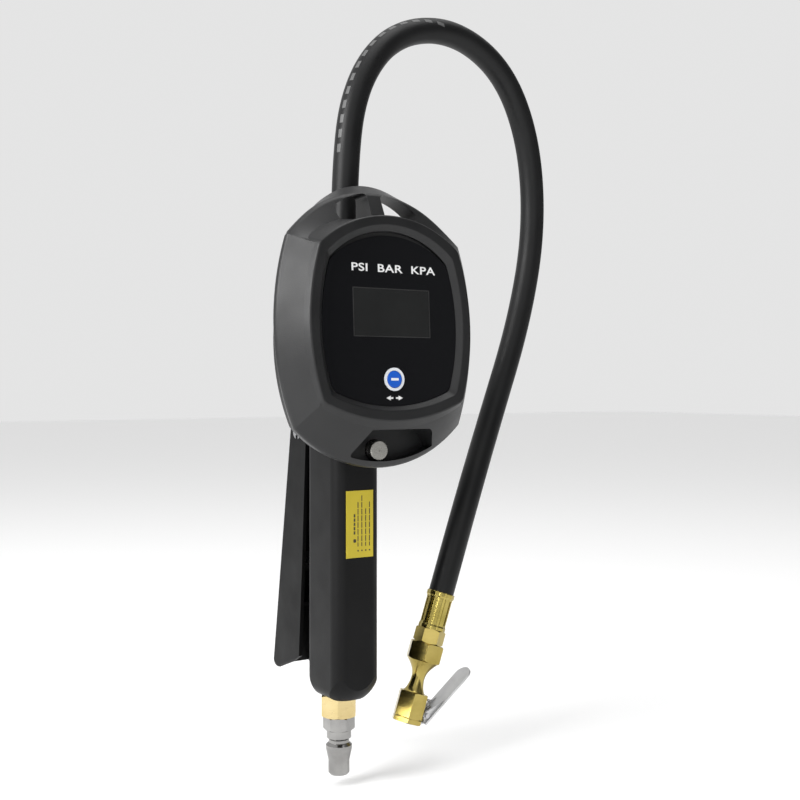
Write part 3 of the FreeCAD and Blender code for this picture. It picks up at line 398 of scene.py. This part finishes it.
# ---- label: plain ruled bars ----
def label_marks():
    low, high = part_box("label")
    front = low[1]
    left, foot, top = low[0], low[2], high[2]
    bars = []
    for column, (length, lines) in enumerate(((0.010, 1), (0.021, 1), (0.024, 1), (0.018, 1), (0.022, 1))):
        x = left + 0.0042 + column * 0.0022
        thick = 0.0009 if column == 0 else 0.0005
        start = foot + (0.0115 if column == 0 else 0.0055)
        z = start
        while z < start + length:
            step = 0.0016 if column == 0 else 0.0012 + 0.0008 * ((int(z * 1e5) * 7) % 3)
            bars.append(bar(x, x + thick, z, min(z + step, top - 0.002)))
            z += step + 0.0005
        if column:
            bars.append(bar(x - 0.0001, x + 0.0007, foot + 0.003, foot + 0.0038, 0.0002))
    bars.append(bar(left + 0.004, left + 0.0056, foot + 0.0075, foot + 0.0092, 0.0003))
    plates("label_marks", bars, lambda x, out, z: Vector((x, front - out, z)), 0.00004, print_dark)


label_marks()


# ---- frame of the display ----
def display_frame():
    """A thin dark frame just inside the display window."""
    (x0, z0), (x1, z1), wide = WINDOW_LOW, WINDOW_HIGH, 0.0005
    strips = [bar(x0, x1, z0, z0 + wide), bar(x0, x1, z1 - wide, z1),
              bar(x0, x0 + wide, z0, z1), bar(x1 - wide, x1, z0, z1)]
    plates("display_frame", strips, on_plate, 0.00003, component)


display_frame()


# ---- springs ----
def shorten(name, axis):
    """Gives the spring its own copy of its mesh; nothing is shortened yet, and axis is not used."""
    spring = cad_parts[name]
    axis = Vector(axis).normalized()
    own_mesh(spring)


shorten("valve_spring", (0.0, -1.0, 0.0))
shorten("bleed_spring", (0.0, 1.0, 0.0))
shorten("poppet_spring", (0.325568, 0.0, 0.945519))


# ---- floor, light and camera ----
def area_light(name, place, aim, size, power):
    light = bpy.data.lights.new(name, "AREA")
    light.shape = "RECTANGLE"
    light.size, light.size_y = size
    light.energy = power
    obj = bpy.data.objects.new(name, light)
    obj.location = place
    obj.rotation_euler = (Vector(aim) - Vector(place)).to_track_quat("-Z", "Y").to_euler()
    bpy.context.scene.collection.objects.link(obj)


def floor():
    half, z = 6.0, cad_box[0][2] - 0.006
    mesh = bpy.data.meshes.new("floor")
    corners = [(-half, -half, z), (half, -half, z), (half, half, z), (-half, half, z)]
    mesh.from_pydata(corners, [], [(0, 1, 2, 3)])
    m, tree, shader = material("floor", (0.93, 0.93, 0.93), 0.8, specular=0.1)
    shader.inputs["Emission Color"].default_value = (1.0, 1.0, 1.0, 1.0)
    shader.inputs["Emission Strength"].default_value = 0.11
    mesh.materials.append(m)
    obj = bpy.data.objects.new("floor", mesh)
    bpy.context.scene.collection.objects.link(obj)


floor()
middle = (0.03, -0.01, 0.2)
area_light("key", (-1.1, -0.1, 0.75), middle, (0.6, 0.9), 17.0)
area_light("fill", (1.1, -0.9, 0.5), middle, (1.0, 1.0), 0.4)
area_light("front", (-0.5, -1.4, 0.3), middle, (0.4, 1.2), 1.2)
area_light("top", (0.2, -0.1, 1.3), middle, (0.8, 0.8), 4.0)

# The studio is evenly bright and dims towards the right, so that the metal shows contrast.
world = bpy.data.worlds.new("studio")
world.use_nodes = True
sky = world.node_tree
background = sky.nodes["Background"]
background.inputs["Color"].default_value = (1.0, 1.0, 1.0, 1.0)
side = sky.nodes.new("ShaderNodeVectorMath")
side.operation = "DOT_PRODUCT"
side.inputs[1].default_value = (0.82, -0.57, 0.0)
shade = sky.nodes.new("ShaderNodeMapRange")
shade.inputs["From Min"].default_value, shade.inputs["From Max"].default_value = 0.35, 0.7
shade.inputs["To Min"].default_value, shade.inputs["To Max"].default_value = 0.78, 0.1
sky.links.new(sky.nodes.new("ShaderNodeTexCoord").outputs["Generated"], side.inputs[0])
sky.links.new(side.outputs["Value"], shade.inputs["Value"])
sky.links.new(shade.outputs["Result"], background.inputs["Strength"])
bpy.context.scene.world = world
bpy.context.scene.view_settings.view_transform = "Standard"

# The camera stands in front and to the left, level with the middle of the head and hose.
AZIMUTH = math.radians(33.0)
DISTANCE, ACROSS, EYE_Z = 0.584, 0.031, 0.196
forward = Vector((math.sin(AZIMUTH), math.cos(AZIMUTH), 0.0))
rightward = Vector((math.cos(AZIMUTH), -math.sin(AZIMUTH), 0.0))
camera_data = bpy.data.cameras.new("camera")
camera_data.lens = 51.75
camera_data.shift_y = -0.01875
camera = bpy.data.objects.new("camera", camera_data)
camera.location = -forward * DISTANCE + rightward * ACROSS + Vector((0.0, 0.0, EYE_Z))
camera.rotation_euler = forward.to_track_quat("-Z", "Y").to_euler()
bpy.context.scene.collection.objects.link(camera)
bpy.context.scene.camera = camera
